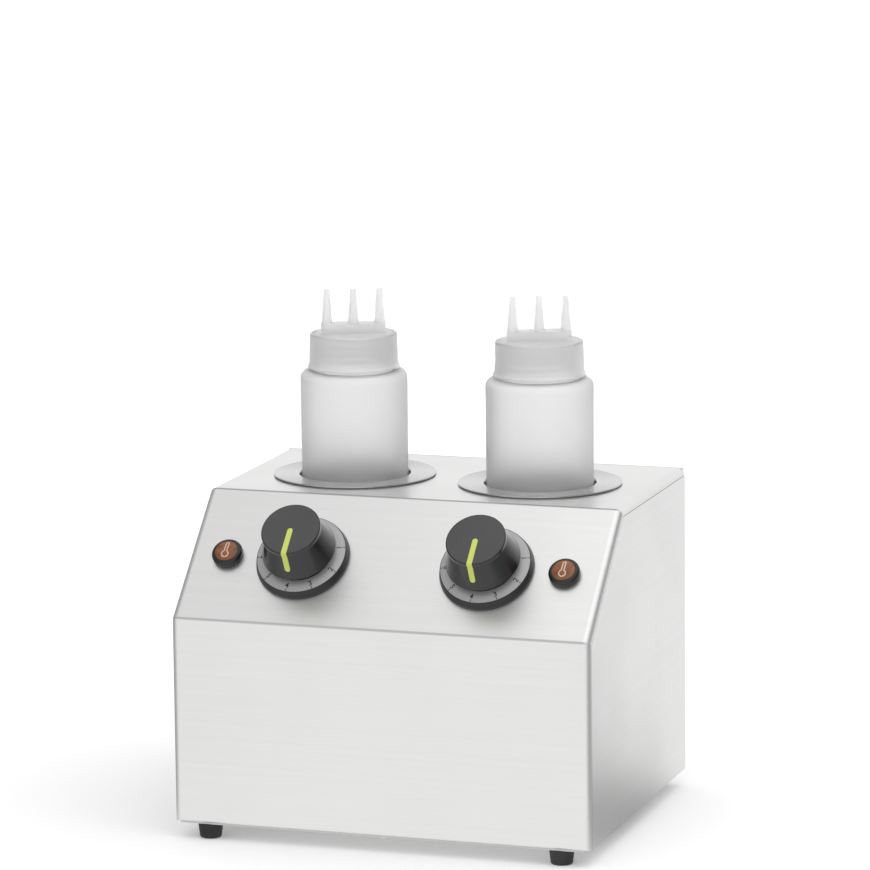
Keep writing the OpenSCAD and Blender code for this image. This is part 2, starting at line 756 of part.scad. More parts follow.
// up is any direction that the curve never runs along
module tube(p, d, up, steps = 14, sides = 8) {
    rings = [for (i = [0:steps]) let (t = i / steps, h = heading(p, t), a = side_of(h, up),
        b = cross(h, a)) each [for (k = [0:sides - 1]) curve(p, t)
            + d / 2 * (a * cos(360 * k / sides) + b * sin(360 * k / sides))]];
    walls = [for (i = [0:steps - 1], k = [0:sides - 1])
        let (a = i * sides + k, b = i * sides + (k + 1) % sides)
        each [[a, b + sides, b], [a, a + sides, b + sides]]];
    low = [[for (k = [0:sides - 1]) k]];
    high = [[for (k = [0:sides - 1]) steps * sides + sides - 1 - k]];
    polyhedron(points = rings, faces = concat(walls, low, high));
}

// The bulb stands before the well, and its thin tube climbs to the thermostat
capillary_d = 1.6;
capillary_drop = 30;
capillary_bow = 45;

module capillary(side) {
    bulb = [side * well_x, well_y + bulb_y, seat_z + bulb_low];
    entry = slope_point(side * knob_x, -stat_w / 2 - 0.3, 6 - stat_in);
    away = [0, -cos(slope_a), -sin(slope_a)];
    color("goldenrod") {
        translate(bulb) cylinder(d = bulb_d, h = bulb_l);
        tube([bulb + [0, 0, lap], bulb - [0, 0, capillary_drop], entry + capillary_bow * away,
            entry], capillary_d, [1, 0, 0]);
    }
}

module bulb_clip(side) {
    l = bulb_l / 3;
    color("silver") at_well(side) translate([0, bulb_y, bulb_low + bulb_l / 3])
        linear_extrude(l) difference() {
            union() {
                circle(clip_or);
                translate([-clip_w / 2, clip_or - clip_t]) square([clip_w, clip_t]);
            }
            circle(bulb_r + heater_gap);
        }
}

// Dials: a black base with a silver ring let into its raised outer part
dial_r = dial_d / 2;
ring_r = ring_d / 2;
ring_bore_r = ring_bore_d / 2;
ring_in_z = ring_z + ring_rise;
ring_gap = 0.05;
function ring_under(r) = ring_in_z - ring_rise * (r - ring_bore_r) / (ring_r - ring_bore_r)
    - ring_t - ring_gap;

module dial_base(side) {
    out_r = ring_r + ring_gap;
    in_r = ring_bore_r - ring_gap;
    bore_r = stat_neck_r + 0.2;
    color("black") on_slope(side * knob_x) difference() {
        rotate_extrude() polygon([
            [bore_r, 0], [dial_r, 0], [dial_r, dial_edge_h],
            [out_r + 0.5, ring_z - 0.4], [out_r, ring_z], [out_r, ring_under(out_r)],
            [in_r, ring_under(in_r)], [in_r - 1, dial_floor], [bore_r, dial_floor]]);
        for (x = [-stat_screw_x, stat_screw_x]) translate([x, 0, -lead])
            cylinder(r = m4_hole_r, h = dial_floor + 2 * lead);
    }
}

module dial_ring(side) {
    color("silver") on_slope(side * knob_x) rotate_extrude() polygon([
        [ring_r, ring_z - ring_t], [ring_r, ring_z], [ring_bore_r, ring_in_z],
        [ring_bore_r, ring_in_z - ring_t]]);
}

// Knobs: a hollow cone under a flat top, on a hub that fits the shaft's flat
module knob_outline() {
    lip_z = knob_h - knob_lip_h;
    rounded([[0, knob_skirt_z], [skirt_r, knob_skirt_z],
        [knob_top_r - knob_groove, lip_z], [knob_top_r, lip_z], [knob_top_r, knob_h],
        [0, knob_h]], [0, 0.3, 0, 0, 0.9, 0]);
}

pointer_top = -1.4;
pointer_fit = 0.03;
pointer_proud = 0.2;

// The pointer's own cone bridges the groove beneath the lip
module pointer_cone(by) {
    rotate_extrude() rounded([[0, knob_skirt_z], [skirt_r + by, knob_skirt_z],
        [knob_top_r + by, knob_h - knob_lip_h], [knob_top_r + by, knob_h + by],
        [0, knob_h + by]], [0, 0, 0, 1 + by, 0]);
}

module pointer_strip(by) {
    r = pointer_w / 2 + by;
    intersection() {
        linear_extrude(far) {
            translate([0, pointer_top]) circle(r);
            translate([-r, pointer_top - far]) square([2 * r, far]);
        }
        rotate([90, 0, 0]) linear_extrude(far, center = true) {
            translate([0, pointer_low + pointer_w / 2]) circle(r);
            translate([-r, pointer_low + pointer_w / 2]) square([2 * r, far]);
        }
    }
}

module knob(side) {
    in_z = knob_h - knob_wall - pointer_seat;
    in_r = knob_top_r - knob_groove - knob_wall;
    color("black") on_slope(side * knob_x) difference() {
        union() {
            rotate_extrude() difference() {
                knob_outline();
                polygon([[-lead, 0], [-lead, in_z], [in_r, in_z], [in_r, knob_h - knob_lip_h],
                    [skirt_r - knob_wall, knob_skirt_z], [skirt_r - knob_wall, 0]]);
            }
            translate([0, 0, hub_z]) cylinder(r = hub_r, h = knob_h - hub_z - knob_wall);
        }
        difference() {
            translate([0, 0, hub_z - lead])
                cylinder(r = shaft_d / 2 + shaft_gap, h = shaft_top + shaft_gap - hub_z + lead);
            translate([-shaft_d, shaft_flat + shaft_gap, 0]) cube([2 * shaft_d, shaft_d, far]);
        }
        difference() {
            pointer_strip(pointer_fit);
            pointer_cone(-pointer_seat - pointer_fit);
        }
    }
}

module pointer(side) {
    color("greenyellow") on_slope(side * knob_x) intersection() {
        pointer_strip(0);
        difference() {
            pointer_cone(pointer_proud);
            pointer_cone(-pointer_seat);
        }
    }
}

// Lamps: a bezel with a round shoulder on a threaded barrel, and a domed lens let into it
lamp_nut_r = barrel_d / 2 + 3.5;
lamp_nut_h = 3.5;
lens_seat = 1.5;
lens_gap = 0.1;

module lamp_body(side) {
    r = lamp_d / 2;
    color("black") on_slope(side * lamp_x) difference() {
        union() {
            rotate_extrude()
                rounded([[0, 0], [r, 0], [r, bezel_h], [0, bezel_h]], [0, 0, bezel_r, 0]);
            translate([0, 0, -barrel_in]) cylinder(r = barrel_d / 2, h = barrel_in + lap);
            for (end = [-1, 1]) translate([end * barrel_d / 4, 0, -barrel_in]) tab();
        }
        translate([0, 0, bezel_h - lens_seat - lens_gap])
            cylinder(d = lens_d + 2 * lens_gap, h = far);
    }
}

module lamp_lens(side) {
    rise = lens_h - bezel_h;
    seat = bezel_h - lens_seat;
    r = lens_d / 2;
    dome_r = (r * r + rise * rise) / (2 * rise);
    color("darkorange") on_slope(side * lamp_x) {
        translate([0, 0, seat]) cylinder(r = r, h = bezel_h - seat);
        intersection() {
            translate([0, 0, lens_h - dome_r]) sphere(r = dome_r);
            translate([0, 0, seat]) cylinder(r = r, h = lens_h);
        }
    }
}

module lamp_nuts() {
    color("dimgray") for (side = [-1, 1]) on_slope(side * lamp_x)
        translate([0, 0, -sheet - lamp_nut_h]) difference() {
            hex(lamp_nut_r, lamp_nut_h);
            translate([0, 0, -lead]) cylinder(r = barrel_d / 2 + 0.05, h = lamp_nut_h + 2 * lead);
        }
}

// The cable gland, along Y through the rear panel
module at_gland() {
    translate([gland_x, back_y, gland_z]) rotate([-90, 0, 0]) children();
}

module cable_gland() {
    color("dimgray") at_gland() difference() {
        union() {
            translate([0, 0, -gland_thread])
                cylinder(r = gland_r, h = gland_thread + seal_out - 3);
            hex(gland_hex_r, gland_flange);
        }
        translate([0, 0, -gland_thread - lead]) cylinder(r = seal_r + 2 * gland_gap, h = far);
    }
}

module gland_nut() {
    color("dimgray") at_gland() translate([0, 0, -sheet - gland_nut_t]) difference() {
        hex(gland_hex_r - 0.5, gland_nut_t);
        translate([0, 0, -lead]) cylinder(r = gland_r + gland_gap, h = gland_nut_t + 2 * lead);
    }
}

module gland_seal() {
    color("black") at_gland() translate([0, 0, -seal_in]) difference() {
        cylinder(r = seal_r, h = seal_in + seal_out);
        translate([0, 0, -lead]) cylinder(d = cord_d, h = seal_in + seal_out + 2 * lead);
    }
}

module gland_cap() {
    cap_or = gland_hex_r * cos(30);
    color("dimgray") at_gland() rotate_extrude() difference() {
        rounded([[0, gland_cap_y], [cap_or, gland_cap_y], [cap_or, gland_out - 5],
            [seal_r + 1, gland_out], [0, gland_out]], [0, 0.3, 2, 1, 0]);
        translate([-lead, 0]) square([lead + cord_d / 2 + 0.6, far]);
        translate([-lead, 0])
            square([lead + gland_r + gland_gap, gland_out - 2 * gland_face_t - lead]);
    }
}

// Terminal block, its screws and the earth stud, on the base plate
module terminal_block() {
    color("ivory") translate([block_x, block_y, low_z]) difference() {
        translate([-block_w / 2, -block_d / 2, 0]) cube([block_w, block_d, block_h]);
        for (i = [-1:1]) translate([i * block_pole, 0, 0]) {
            for (end = [-1, 1]) translate([0, end * pole_screw_y, pole_screw_z])
                cylinder(r = pole_screw_r + nut_gap, h = far);
            translate([0, 0, block_h / 2]) rotate([90, 0, 0])
                cylinder(r = block_hole_r, h = block_d + 2 * lead, center = true);
        }
        for (i = [-1, 1]) translate([i * block_pole / 2, 0, block_h]) {
            cube([groove_w, block_d + 2 * lead, 2 * groove_h], center = true);
            translate([0, 0, -block_h - lead]) cylinder(r = m3_r + nut_gap, h = 2 * grip + 2 * lead);
        }
    }
}

module terminal_screws() {
    h = 3.4;
    color("silver") for (i = [-1:1], end = [-1, 1])
        translate([block_x + i * block_pole, block_y + end * pole_screw_y, low_z + pole_screw_z
            + nut_gap]) difference() {
                cylinder(r = pole_screw_r, h = h);
                translate([0, 0, h]) cube([far, 0.7, 1.6], center = true);
            }
}

module earth_stud() {
    color("silver") translate([earth_x, earth_y, low_z - base_t]) {
        rotate([180, 0, 0]) pan_screw(m4_r, base_t + earth_l, m4_head_r, m4_head_h);
        translate([0, 0, base_t]) hex(m4_nut_r, m4_nut_h);
    }
}

// Wires from the terminal block to the heaters and thermostats, and on to the lamps
module wiring() {
    feed_z = low_z + block_h / 2;
    feed_y = block_d / 2 + wire_gap;
    heater_end = heater_or + post_l + wire_gap;
    stat_n = -stat_in - tab_l - wire_gap;
    lamp_n = -barrel_in - tab_l - wire_gap;
    back = [0, sin(slope_a), -cos(slope_a)];
    color("firebrick") for (side = [-1, 1]) {
        away = [-side * sin(post_a), cos(post_a), 0];
        post = [side * well_x, well_y, seat_z + heater_up + heater_h / 2] + heater_end * away;
        rear_pole = [block_x + side * block_pole, block_y + feed_y, feed_z];
        front_pole = [block_x + side * block_pole, block_y - feed_y, feed_z];
        inner_tab = slope_point(side * (knob_x - stat_w / 4), stat_tab_s, stat_n);
        outer_tab = slope_point(side * (knob_x + stat_w / 4), stat_tab_s, stat_n);
        lamp_tab = slope_point(side * (lamp_x - barrel_d / 4), 0, lamp_n);
        tube([rear_pole, rear_pole + [0, wire_out, 0], post + wire_lead * away, post], wire_d,
            [1, 0, 0.2]);
        tube([front_pole, front_pole - [0, wire_bow, 0],
            inner_tab + 70 * back - [side * 10, 0, wire_bow], inner_tab], wire_d, [1, 0, 0.2]);
        tube([outer_tab, outer_tab + wire_lead * back, lamp_tab + wire_lead * back, lamp_tab],
            wire_d, [0, 1, 1]);
    }
}

// Squeeze bottles, standing in their wells
module bottle_inside() {
    t = bottle_wall;
    r_low = bottle_base_d / 2 - t;
    difference() {
        rounded([[0, t], [r_low, t], [bottle_r - t, shoulder_h - t], [0, shoulder_h - t]],
            [0, heel_r - t, shoulder_r - t, 0]);
        polygon([[0, 0], [pushup_d / 2 + t, 0], [pushup_d / 2 - t, pushup_h + t],
            [0, pushup_h + t]]);
    }
    translate([0, shoulder_h / 2]) square([neck_r - t, far]);
}

module bottle(side) {
    color("whitesmoke") at_well(side) rotate_extrude() difference() {
        union() {
            rounded([[0, 0], [bottle_base_d / 2, 0], [bottle_r, shoulder_h], [0, shoulder_h]],
                [0, heel_r, shoulder_r, 0]);
            translate([0, shoulder_h - lap]) square([neck_r, neck_h + lap]);
        }
        bottle_inside();
        polygon([[-lead, -lead], [pushup_d / 2, -lead], [pushup_d / 2 - 2, pushup_h],
            [-lead, pushup_h]]);
    }
}

// Nozzle caps: a flared skirt, a bar across the top and three open nozzles. The bar is drawn in
// by the distance by
module bar(by, low, high) {
    w = bar_w - 2 * by;
    translate([0, 0, low]) linear_extrude(high - low) {
        square([bar_l - bar_w, w], center = true);
        for (end = [-1, 1]) translate([end * (bar_l - bar_w) / 2, 0]) circle(w / 2);
    }
}

module nozzle_cap(side) {
    t = cap_wall;
    color("whitesmoke") at_well(side) rotate(nozzle_turn) difference() {
        union() {
            rotate_extrude() rounded([[0, cap_foot], [cap_r + cap_flare, cap_foot],
                [cap_r + cap_flare * 0.35, cap_foot + cap_flare_h], [cap_r, cap_top],
                [0, cap_top]], [0, 0.3, 0, cap_edge_r, 0]);
            bar(0, cap_top - lap, bar_top);
            for (i = [-1:1]) translate([i * nozzle_pitch, 0, bar_top - lap])
                cylinder(d1 = nozzle_base_d, d2 = nozzle_tip_d, h = nozzle_h + lap);
        }
        translate([0, 0, cap_foot - lead])
            cylinder(r = neck_r + cap_gap, h = neck_top - cap_foot + lead);
        bar(t, neck_top - lap, bar_top - t);
        for (i = [-1:1]) translate([i * nozzle_pitch, 0, bar_top - t - lap])
            cylinder(d1 = nozzle_base_d - 2 * t, d2 = nozzle_bore_d, h = nozzle_h + t + 2 * lap);
    }
}

front_wrap();
side_panel(-1);  // side_panel_left
side_panel(1);  // side_panel_right
rear_panel();
base_plate();
panel_screws();
foot(0);  // foot_front_left
foot(1);  // foot_front_right
foot(2);  // foot_rear_left
foot(3);  // foot_rear_right
foot_screws();
foot_nuts();
well(-1);  // well_left
well(1);  // well_right
well_gasket(-1);  // well_gasket_left
well_gasket(1);  // well_gasket_right
well_nuts();
heater(-1);  // heater_left
heater(1);  // heater_right
heater_clamp_screws();
thermal_cutout(-1);  // thermal_cutout_left
thermal_cutout(1);  // thermal_cutout_right
thermostat(-1);  // thermostat_left
thermostat(1);  // thermostat_right
thermostat_screws();
thermostat_shaft(-1);  // thermostat_shaft_left
thermostat_shaft(1);  // thermostat_shaft_right
capillary(-1);  // capillary_left
capillary(1);  // capillary_right
bulb_clip(-1);  // bulb_clip_left
bulb_clip(1);  // bulb_clip_right
dial_base(-1);  // dial_base_left
dial_base(1);  // dial_base_right
dial_ring(-1);  // dial_ring_left
dial_ring(1);  // dial_ring_right
knob(-1);  // knob_left
knob(1);  // knob_right
pointer(-1);  // pointer_left
pointer(1);  // pointer_right
lamp_body(-1);  // lamp_body_left
lamp_body(1);  // lamp_body_right
lamp_lens(-1);  // lamp_lens_left
lamp_lens(1);  // lamp_lens_right
lamp_nuts();
cable_gland();
gland_cap();
gland_seal();
gland_nut();
terminal_block();
terminal_screws();
earth_stud();
wiring();
bottle(-1);  // bottle_left
bottle(1);  // bottle_right
nozzle_cap(-1);  // nozzle_cap_left
nozzle_cap(1);  // nozzle_cap_right
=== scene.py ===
import json
import math

import bpy
from mathutils import Matrix, Vector


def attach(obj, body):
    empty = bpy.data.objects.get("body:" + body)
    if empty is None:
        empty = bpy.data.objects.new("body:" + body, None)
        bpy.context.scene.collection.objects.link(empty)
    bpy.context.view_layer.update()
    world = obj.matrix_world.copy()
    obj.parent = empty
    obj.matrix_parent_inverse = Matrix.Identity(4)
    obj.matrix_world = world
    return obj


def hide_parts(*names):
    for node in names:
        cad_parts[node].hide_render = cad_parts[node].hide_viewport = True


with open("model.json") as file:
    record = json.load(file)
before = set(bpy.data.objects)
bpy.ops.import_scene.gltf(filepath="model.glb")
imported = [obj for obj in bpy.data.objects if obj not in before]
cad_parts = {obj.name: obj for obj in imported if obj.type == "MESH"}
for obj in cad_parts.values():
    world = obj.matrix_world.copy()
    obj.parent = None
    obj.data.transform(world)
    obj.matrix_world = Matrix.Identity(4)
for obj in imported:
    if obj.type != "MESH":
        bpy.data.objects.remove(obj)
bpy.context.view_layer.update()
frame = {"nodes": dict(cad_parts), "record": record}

# Sizes taken from the part's source, in metres
MM = 0.001
FRONT_Y = -0.130
BEND_Z = 0.156
TOP_Y = -0.050
TOP_Z = 0.232
SLOPE_TURN = math.radians(43.5311)
CONTROL_S = 0.05397
KNOB_X = 0.0663
LAMP_X = 0.1215
WELL_X = 0.0685
WELL_Y = 0.025
SEAT_Z = 0.0836
NECK_R = 0.029
SIDES = {"left": -1, "right": 1}


def slope_place(x):
    """Where the middle of a control is on the sloped panel"""
    up = Vector((0, math.cos(SLOPE_TURN), math.sin(SLOPE_TURN)))
    foot = Vector((x, FRONT_Y, BEND_Z))
    return foot + up * CONTROL_S


def slope_matrix(x):
    """The panel's own axes at a control: X across, Y up the slope, Z out of it"""
    return Matrix.Translation(slope_place(x)) @ Matrix.Rotation(SLOPE_TURN, 4, "X")


# Camera, floor and light

CAMERA_PLACE = (1.0685656, -3.2139002, 0.8838648)
CAMERA_ACROSS = (0.94942, 0.31384, -0.01006)
CAMERA_AHEAD = (-0.31050, 0.93357, -0.17900)
CAMERA_LENS = 204.0298
CAMERA_FILM = 36.0
CAMERA_RANGE = 200.0
FLOOR_SIZE = 80.0
FLOOR_TONE = 0.93

# How bright metal sees the studio, from the horizon to overhead
FRONT_WALL = [(0.0, 1.0), (0.30, 1.0), (0.55, 0.76), (0.80, 0.80), (1.0, 0.90)]
BACK_WALL = [(0.0, 1.08), (0.42, 1.06), (0.60, 0.84), (0.80, 0.80), (1.0, 0.90)]
SIDE_WALL = 0.38
MIRRORED_FLOOR = 0.88
MIRRORED_SIDE_FLOOR = 0.28
MIRRORED_FLOOR_TONE = 0.16

# Where one of these passes into the next, as a share of the way round
FRONT_TO_BACK = (-0.35, 0.35)
WALL_TO_SIDE = (0.50, 0.80)
FLOOR_TO_SIDE = (0.68, 0.95)

# Plain light, and how much the floor glows in the picture near the object and far from it
PLAIN_LIGHT = 0.86
NEAR_GLOW = 0.14
FAR_GLOW = 0.40
NEAR_TO_FAR = (0.25, 0.75)

# Each lamp's place, aim, width, height and glow, and whether it is mirrored or lights
LAMPS = {
    "overhead": ((0.63, -0.25, 1.30), (0.63, -0.25, 0.0), 1.54, 1.5, 0.80, False),
    "overhead_mirrored": ((0.57, -0.25, 1.33), (0.57, -0.25, 0.0), 1.66, 1.5, 0.40, True),
    "front_right": ((0.50, -1.15, 1.25), (0.0, -0.05, 0.20), 0.20, 0.20, 4.5, True),
}


def opaque(colour):
    return (colour[0], colour[1], colour[2], 1.0)


def grey(level):
    return (level, level, level)


def add_camera():
    across = Vector(CAMERA_ACROSS).normalized()
    back = -Vector(CAMERA_AHEAD).normalized()
    up = back.cross(across).normalized()
    across = up.cross(back)
    place = Matrix((across, up, back)).transposed().to_4x4()
    place.translation = CAMERA_PLACE
    bpy.ops.object.camera_add()
    camera = bpy.context.object
    camera.matrix_world = place
    camera.data.lens = CAMERA_LENS
    camera.data.sensor_width = CAMERA_FILM
    camera.data.clip_end = CAMERA_RANGE
    bpy.context.scene.camera = camera


def add_softbox(name, place, aim, width, height, glow, mirrored):
    """A lamp as bright as glow, where 1 is white: it is only mirrored, or it only lights"""
    bpy.ops.object.light_add(type="AREA", location=place)
    lamp = bpy.context.object
    lamp.name = name
    lamp.data.shape = "RECTANGLE"
    lamp.data.size = width
    lamp.data.size_y = height
    lamp.data.energy = glow * math.pi * width * height
    lamp.visible_glossy = mirrored
    lamp.visible_diffuse = not mirrored
    lamp.visible_transmission = not mirrored
    away = Vector(place) - Vector(aim)
    lamp.rotation_euler = away.to_track_quat("Z", "Y").to_euler()


class Tree:
    """Adds nodes to a node tree, with their inputs set or linked"""

    def __init__(self, tree):
        self.tree = tree

    def add(self, kind, inputs=None, **settings):
        node = self.tree.nodes.new(kind)
        for name, value in settings.items():
            setattr(node, name, value)
        for name, value in (inputs or {}).items():
            if isinstance(value, bpy.types.NodeSocket):
                self.tree.links.new(value, node.inputs[name])
            else:
                node.inputs[name].default_value = value
        return node

    def math(self, operation, first, second=0.0):
        inputs = {0: first, 1: second}
        return self.add("ShaderNodeMath", inputs, operation=operation).outputs[0]

    def reach(self, first, second):
        """How far a point is from the origin, from two of its coordinates"""
        square = self.math("ADD", self.math("MULTIPLY", first, first),
                           self.math("MULTIPLY", second, second))
        return self.math("SQRT", square)

    def span(self, value, low, high, first, last, shape="SMOOTHSTEP"):
        inputs = {"Value": value, "From Min": low, "From Max": high, "To Min": first,
                  "To Max": last}
        return self.add("ShaderNodeMapRange", inputs, interpolation_type=shape).outputs[0]

    def blend(self, factor, first, second):
        """From the first colour to the second: 6, 7 and 2 are the colour sockets"""
        node = self.add("ShaderNodeMix", {0: factor, 6: first, 7: second},
                        data_type="RGBA")
        return node.outputs[2]

    def ramp(self, value, stops):
        node = self.add("ShaderNodeValToRGB", {0: value})
        points = node.color_ramp.elements
        while len(points) < len(stops):
            points.new(0.5)
        for point, (place, level) in zip(points, stops):
            point.position = place
            point.color = (level, level, level, 1)
        return node.outputs[0]

    def noise(self, vector, scale, detail, roughness):
        inputs = {"Vector": vector, "Scale": scale, "Detail": detail, "Roughness": roughness}
        return self.add("ShaderNodeTexNoise", inputs).outputs[0]


def make_world():
    """Plain light from all round, and a studio with darker walls for metal to mirror"""
    world = bpy.data.worlds.new("studio")
    bpy.context.scene.world = world
    world.use_nodes = True
    world.node_tree.nodes.clear()
    t = Tree(world.node_tree)
    place = t.add("ShaderNodeTexCoord").outputs["Generated"]
    axes = t.add("ShaderNodeSeparateXYZ", {0: place}).outputs
    behind = t.span(axes["Y"], *FRONT_TO_BACK, 0.0, 1.0)
    aside = t.span(t.math("ABSOLUTE", axes["X"]), *WALL_TO_SIDE, 0.0, 1.0)
    front = t.ramp(axes["Z"], FRONT_WALL)
    back = t.ramp(axes["Z"], BACK_WALL)
    mirrored = t.blend(behind, front, back)
    mirrored = t.blend(aside, mirrored, opaque(grey(SIDE_WALL)))
    path = t.add("ShaderNodeLightPath").outputs
    seen = t.math("MAXIMUM", path["Is Camera Ray"], path["Is Transmission Ray"])
    plain = t.blend(path["Is Glossy Ray"], opaque(grey(PLAIN_LIGHT)), mirrored)
    colour = t.blend(seen, plain, opaque(grey(1.0)))
    light = t.add("ShaderNodeBackground", {"Color": colour, "Strength": 1.0})
    t.add("ShaderNodeOutputWorld", {"Surface": light.outputs[0]})


def make_floor():
    """A white floor that glows a little where it is seen, and is darker mirrored at the sides"""
    bpy.ops.mesh.primitive_plane_add(size=FLOOR_SIZE, location=(0, 0, 0))
    floor = bpy.context.object
    floor.name = "floor"
    finish = bpy.data.materials.new("white_floor")
    finish.use_nodes = True
    finish.node_tree.nodes.clear()
    t = Tree(finish.node_tree)
    place = t.add("ShaderNodeTexCoord").outputs["Object"]
    reach = t.add("ShaderNodeVectorMath", {0: place}, operation="LENGTH").outputs["Value"]
    axes = t.add("ShaderNodeSeparateXYZ", {0: place}).outputs
    share = t.math("DIVIDE", t.math("ABSOLUTE", axes["X"]), t.math("ADD", reach, 0.01))
    mirrored = t.span(share, *FLOOR_TO_SIDE, MIRRORED_FLOOR, MIRRORED_SIDE_FLOOR)
    path = t.add("ShaderNodeLightPath").outputs
    seen = t.math("MAXIMUM", path["Is Camera Ray"], path["Is Transmission Ray"])
    glow = t.math("MULTIPLY", seen, t.span(reach, *NEAR_TO_FAR, NEAR_GLOW, FAR_GLOW))
    glow = t.math("ADD", glow, t.math("MULTIPLY", path["Is Glossy Ray"], mirrored))
    colour = t.blend(path["Is Glossy Ray"], opaque(grey(FLOOR_TONE)),
                     opaque(grey(MIRRORED_FLOOR_TONE)))
    surface = t.add("ShaderNodeBsdfPrincipled", {
        "Base Color": colour, "Roughness": 1.0, "Specular IOR Level": 0.0,
        "Emission Color": (1, 1, 1, 1), "Emission Strength": glow})
    t.add("ShaderNodeOutputMaterial", {"Surface": surface.outputs[0]})
    floor.data.materials.append(finish)


bpy.context.scene.view_settings.view_transform = "Standard"
bpy.ops.object.select_all(action="DESELECT")
add_camera()
make_world()
make_floor()
for name, lamp in LAMPS.items():
    add_softbox(name, *lamp)


# Patterns that more than one finish uses


def make_group(name, numbers, outputs):
    """A node group with a Vector input, number inputs with defaults, and number outputs"""
    tree = bpy.data.node_groups.new(name, "ShaderNodeTree")
    tree.interface.new_socket("Vector", in_out="INPUT", socket_type="NodeSocketVector")
    for label, default in numbers.items():
        socket = tree.interface.new_socket(label, in_out="INPUT", socket_type="NodeSocketFloat")
        socket.default_value = default
    for label, kind in outputs.items():
        tree.interface.new_socket(label, in_out="OUTPUT", socket_type=kind)
    t = Tree(tree)
    return t, t.add("NodeGroupInput").outputs


NUMBER = "NodeSocketFloat"
VECTOR = "NodeSocketVector"


def put_out_scratches(t, drawn):
    """Fine scratches over broader ones, from a vector that is already stretched along them"""
    fine = t.noise(drawn, 1.0, 3.0, 0.6)
    broad = t.noise(drawn, 0.13, 2.0, 0.5)
    tone = t.math("ADD", t.math("MULTIPLY", fine, 0.45), t.math("MULTIPLY", broad, 0.55))
    t.add("NodeGroupOutput", {"Height": fine, "Tone": tone})


def make_brushed_grain():
    """Long fine scratches along X of the vector that it is given"""
    t, given = make_group("brushed grain", {"Along": 14.0, "Across": 2600.0},
                          {"Height": NUMBER, "Tone": NUMBER})
    stretch = t.add("ShaderNodeCombineXYZ", {
        "X": given["Along"], "Y": given["Across"], "Z": given["Across"]}).outputs[0]
    drawn = t.add("ShaderNodeVectorMath", {0: given["Vector"], 1: stretch},
                  operation="MULTIPLY").outputs[0]
    put_out_scratches(t, drawn)


def make_turned_grain():
    """Fine rings round Z of the vector that it is given"""
    t, given = make_group("turned grain", {"Across": 2600.0}, {"Height": NUMBER, "Tone": NUMBER})
    axes = t.add("ShaderNodeSeparateXYZ", {0: given["Vector"]}).outputs
    reach = t.math("MULTIPLY", t.reach(axes["X"], axes["Y"]), given["Across"])
    level = t.math("MULTIPLY", axes["Z"], given["Across"])
    ring = t.add("ShaderNodeCombineXYZ", {"X": reach, "Y": level}).outputs[0]
    put_out_scratches(t, ring)


def make_moulded_skin():
    """The fine spark-eroded skin of moulded plastic, and its slow change of tone"""
    t, given = make_group("moulded skin", {"Grain": 2200.0, "Patch": 30.0},
                          {"Height": NUMBER, "Tone": NUMBER})
    fine = t.noise(given["Vector"], given["Grain"], 3.0, 0.65)
    patch = t.noise(given["Vector"], given["Patch"], 3.0, 0.55)
    t.add("NodeGroupOutput", {"Height": fine, "Tone": patch})


def make_handling_marks():
    """Faint wiped patches that change how sharply a surface mirrors"""
    t, given = make_group("handling marks", {"Size": 11.0}, {"Value": NUMBER})
    cloud = t.noise(given["Vector"], given["Size"], 4.0, 0.6)
    value = t.span(cloud, 0.35, 0.7, 0.0, 1.0)
    t.add("NodeGroupOutput", {"Value": value})


def make_either_side():
    """Folds the left half onto the right, so that one pattern serves both"""
    t, given = make_group("either side", {}, {"Folded": VECTOR})
    axes = t.add("ShaderNodeSeparateXYZ", {0: given["Vector"]}).outputs
    folded = t.add("ShaderNodeCombineXYZ", {
        "X": t.math("ABSOLUTE", axes["X"]), "Y": axes["Y"], "Z": axes["Z"]}).outputs[0]
    t.add("NodeGroupOutput", {"Folded": folded})


make_brushed_grain()
make_turned_grain()
make_moulded_skin()
make_handling_marks()
make_either_side()


# Finishes


def place_group(t, name, inputs):
    return t.add("ShaderNodeGroup", inputs, node_tree=bpy.data.node_groups[name]).outputs


def start_finish(name):
    finish = bpy.data.materials.new(name)
    finish.use_nodes = True
    finish.node_tree.nodes.clear()
    t = Tree(finish.node_tree)
    return finish, t, t.add("ShaderNodeTexCoord").outputs["Object"]


def end_finish(t, surface, height, strength, distance):
    """Gives the surface its fine relief and ends the material"""
    bump = t.add("ShaderNodeBump", {"Height": height, "Strength": strength,
                                    "Distance": distance})
    t.tree.links.new(bump.outputs[0], surface.inputs["Normal"])
    t.add("ShaderNodeOutputMaterial", {"Surface": surface.outputs[0]})


def near_fold(t, place, y, z):
    """A mask for the narrow strip round a fold that runs along X through y and z, where painted
    shade goes
    """
    axes = t.add("ShaderNodeSeparateXYZ", {0: place}).outputs
    off_y = t.math("SUBTRACT", axes["Y"], y)
    off_z = t.math("SUBTRACT", axes["Z"], z)
    return t.span(t.reach(off_y, off_z), FOLD_IN_R, FOLD_OUT_R, 1.0, 0.0)


